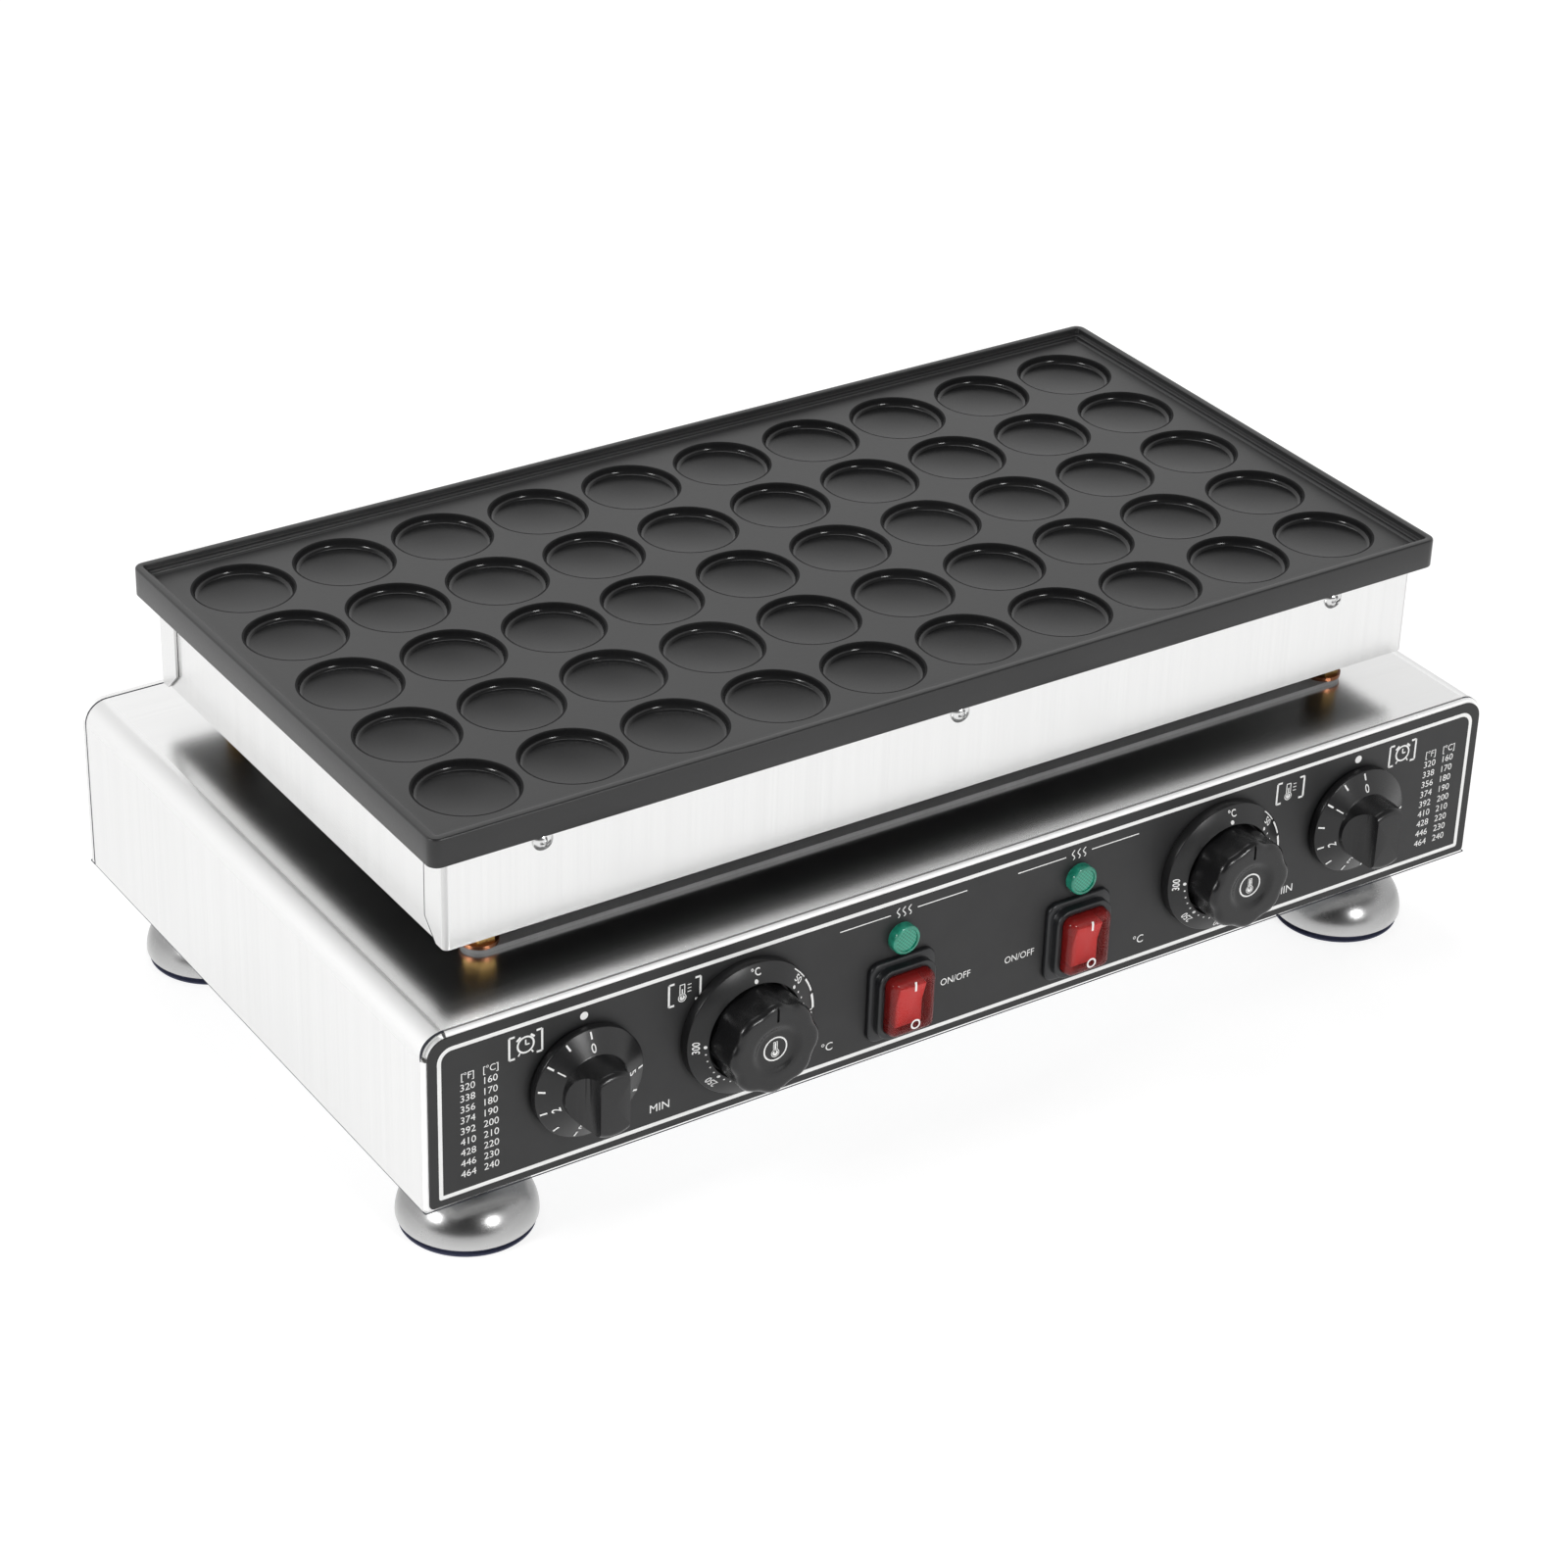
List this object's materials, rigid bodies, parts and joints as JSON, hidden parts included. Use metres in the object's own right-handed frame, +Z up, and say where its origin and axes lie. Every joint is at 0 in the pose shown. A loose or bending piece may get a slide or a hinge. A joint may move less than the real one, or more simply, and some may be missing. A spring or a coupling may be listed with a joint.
{
  "type": "electric table baker",
  "caption": "Electric table baker: coated cast plate with a grid of round dished cavities on a steel box, raised on brass studs over a base with timer and thermostat knobs and rocker switches",
  "frame": {"origin": "centre of the bounding box's bottom, on the table under the rubber pads", "axes": "+X to the right seen from the control panel, +Y to the back, +Z up; the control panel faces -Y"},
  "size_m": [0.56, 0.373, 0.2016],
  "materials": {
    "stainless": "brushed",
    "polished_steel": "polished",
    "zinc_steel": "satin",
    "panel_black": "matte",
    "coated_aluminium": "matte non-stick coating",
    "heater_steel": "oxidised",
    "brass": "satin",
    "copper": "satin",
    "rubber_black": "matte",
    "black_plastic": "satin",
    "red_plastic": "glossy",
    "green_plastic": "glossy",
    "ceramic_white": "matte",
    "mineral_wool": "fibrous"
  },
  "bodies": {
    "base": {"base_shell": "stainless", "front_plate": "stainless", "rear_plate": "stainless", "control_panel": "panel_black", "bottom_cover": "zinc_steel", "bottom_cover_screws": "zinc_steel", "foot_front_left": "polished_steel", "foot_front_right": "polished_steel", "foot_rear_left": "polished_steel", "foot_rear_right": "polished_steel", "foot_pads": "rubber_black", "foot_bolts": "zinc_steel", "box_front": "stainless", "box_rear": "stainless", "box_left": "stainless", "box_right": "stainless", "box_floor": "stainless", "box_screws": "zinc_steel", "insulation_mat": "mineral_wool", "cooking_plate": "coated_aluminium", "heater_left": "heater_steel", "heater_right": "heater_steel", "heater_clamp_left": "zinc_steel", "heater_clamp_right": "zinc_steel", "clamp_bolts": "zinc_steel", "support_rail_front": "zinc_steel", "support_rail_rear": "zinc_steel", "standoff_studs": "brass", "standoff_spacers": "brass", "stud_washers": "copper", "stud_nuts": "brass", "wiring_sleeve": "zinc_steel", "terminal_block": "ceramic_white", "cable_gland": "black_plastic", "timer_body_left": "ceramic_white", "timer_body_right": "ceramic_white", "thermostat_body_left": "ceramic_white", "thermostat_body_right": "ceramic_white", "thermostat_ring_left": "black_plastic", "thermostat_ring_right": "black_plastic", "thermostat_bulb_left": "copper", "thermostat_bulb_right": "copper", "switch_housing_left": "black_plastic", "switch_housing_right": "black_plastic", "switch_boot_left": "red_plastic", "switch_boot_right": "red_plastic", "lamp_body_left": "ceramic_white", "lamp_body_right": "ceramic_white", "lamp_lens_left": "green_plastic", "lamp_lens_right": "green_plastic"},
    "timer_left": {"timer_knob_left": "black_plastic", "timer_shaft_left": "zinc_steel"},
    "thermostat_left": {"thermostat_knob_left": "black_plastic", "thermostat_shaft_left": "zinc_steel"},
    "rocker_left": {"rocker_left": "red_plastic"},
    "timer_right": {"timer_knob_right": "black_plastic", "timer_shaft_right": "zinc_steel"},
    "thermostat_right": {"thermostat_knob_right": "black_plastic", "thermostat_shaft_right": "zinc_steel"},
    "rocker_right": {"rocker_right": "red_plastic"}
  },
  "joints": [
    {"name": "timer_left_turn", "type": "hinge", "parent": "base", "child": "timer_left", "pos_m": [-0.2054, -0.161, 0.0837], "axis": [0, 1, 0], "range_deg": [0, 270]},
    {"name": "thermostat_left_turn", "type": "hinge", "parent": "base", "child": "thermostat_left", "pos_m": [-0.1265, -0.161, 0.0837], "axis": [0, 1, 0], "range_deg": [0, 270]},
    {"name": "rocker_left_tilt", "type": "hinge", "parent": "base", "child": "rocker_left", "pos_m": [-0.0473, -0.1615, 0.0715], "axis": [-1, 0, 0], "range_deg": [0, 16]},
    {"name": "timer_right_turn", "type": "hinge", "parent": "base", "child": "timer_right", "pos_m": [0.2054, -0.161, 0.0837], "axis": [0, 1, 0], "range_deg": [0, 270]},
    {"name": "thermostat_right_turn", "type": "hinge", "parent": "base", "child": "thermostat_right", "pos_m": [0.1265, -0.161, 0.0837], "axis": [0, 1, 0], "range_deg": [0, 270]},
    {"name": "rocker_right_tilt", "type": "hinge", "parent": "base", "child": "rocker_right", "pos_m": [0.0473, -0.1615, 0.0715], "axis": [-1, 0, 0], "range_deg": [0, 16]}
  ]
}
